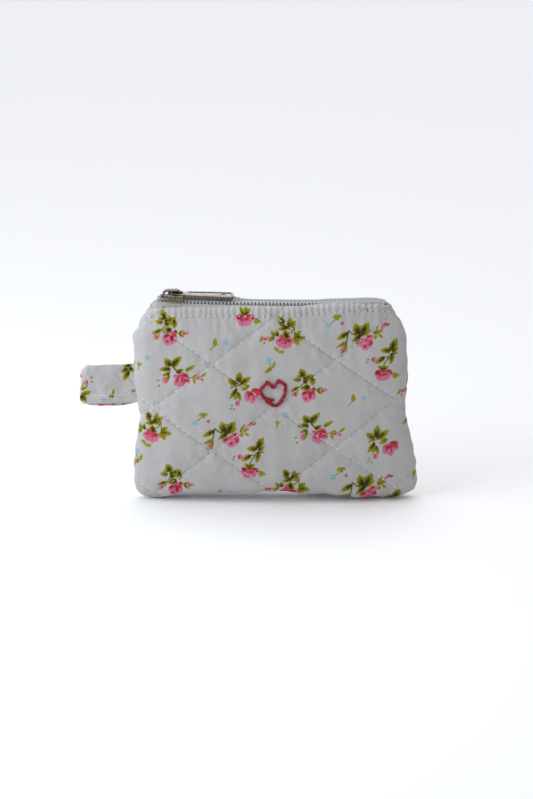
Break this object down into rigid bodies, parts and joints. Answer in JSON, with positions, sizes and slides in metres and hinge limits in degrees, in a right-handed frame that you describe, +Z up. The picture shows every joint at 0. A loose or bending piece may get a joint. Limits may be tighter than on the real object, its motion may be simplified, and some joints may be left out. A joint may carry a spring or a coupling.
{
  "type": "zippered pouch",
  "caption": "Small quilted cotton pouch with a coil zip along the top, a metal slider and a folded tab in the left seam.",
  "frame": {"origin": "centre of the base that the pouch stands on", "axes": "+X to the right along the zip, +Y from the front to the back, +Z up"},
  "size_m": [0.1405, 0.0217, 0.0916],
  "materials": {
    "printed_cotton": "quilted cotton with a small rose print",
    "batting": "soft polyester wadding",
    "lining_cotton": "plain woven cotton",
    "zip_tape": "woven polyester tape",
    "zip_coil": "satin nylon monofilament",
    "nickel": "polished nickel plate on zinc",
    "sewing_thread": "spun polyester thread",
    "floss": "stranded cotton floss"
  },
  "bodies": {
    "root": {"back_outer_fabric": "printed_cotton", "back_batting": "batting", "back_lining": "lining_cotton", "back_zip_tape": "zip_tape", "back_zip_coil": "zip_coil", "back_topstitch": "sewing_thread", "back_quilting_thread": "sewing_thread", "left_seam_thread": "sewing_thread", "right_seam_thread": "sewing_thread", "bottom_seam_thread": "sewing_thread", "lining_closing_thread": "sewing_thread"},
    "front_half": {"front_outer_fabric": "printed_cotton", "front_batting": "batting", "front_lining": "lining_cotton", "front_zip_tape": "zip_tape", "front_zip_coil": "zip_coil", "front_topstitch": "sewing_thread", "front_quilting_thread": "sewing_thread", "heart_embroidery": "floss"},
    "slider": {"slider_body": "nickel", "slider_crown": "nickel", "slider_lock_spring": "nickel"},
    "pull": {"pull_tab": "nickel"},
    "tab": {"side_tab": "printed_cotton", "side_tab_topstitch": "sewing_thread"}
  },
  "joints": [
    {"name": "slider_travel", "type": "slide", "parent": "root", "child": "slider", "axis": [1, 0, 0], "range_m": [0, 0.08], "deforming": ["back_zip_coil", "back_zip_tape"]},
    {"name": "mouth_open", "type": "hinge", "parent": "root", "child": "front_half", "pos_m": [0, -0.0072, 0], "axis": [1, 0, 0], "range_deg": [0, 10], "deforming": ["front_zip_coil", "front_zip_tape"]},
    {"name": "pull_flip", "type": "hinge", "parent": "slider", "child": "pull", "pos_m": [-0.041, 0, 0.0897], "axis": [0, -1, 0], "range_deg": [0, 170]},
    {"name": "tab_flex", "type": "hinge", "parent": "root", "child": "tab", "pos_m": [-0.0592, 0, 0.04975], "axis": [0, 0, 1], "range_deg": [-75, 75], "stiffness_Nm_per_rad": 0.002}
  ],
  "couplings": [
    {"joint": "mouth_open", "follows": "slider_travel", "rad_per_m": 2.1816}
  ]
}
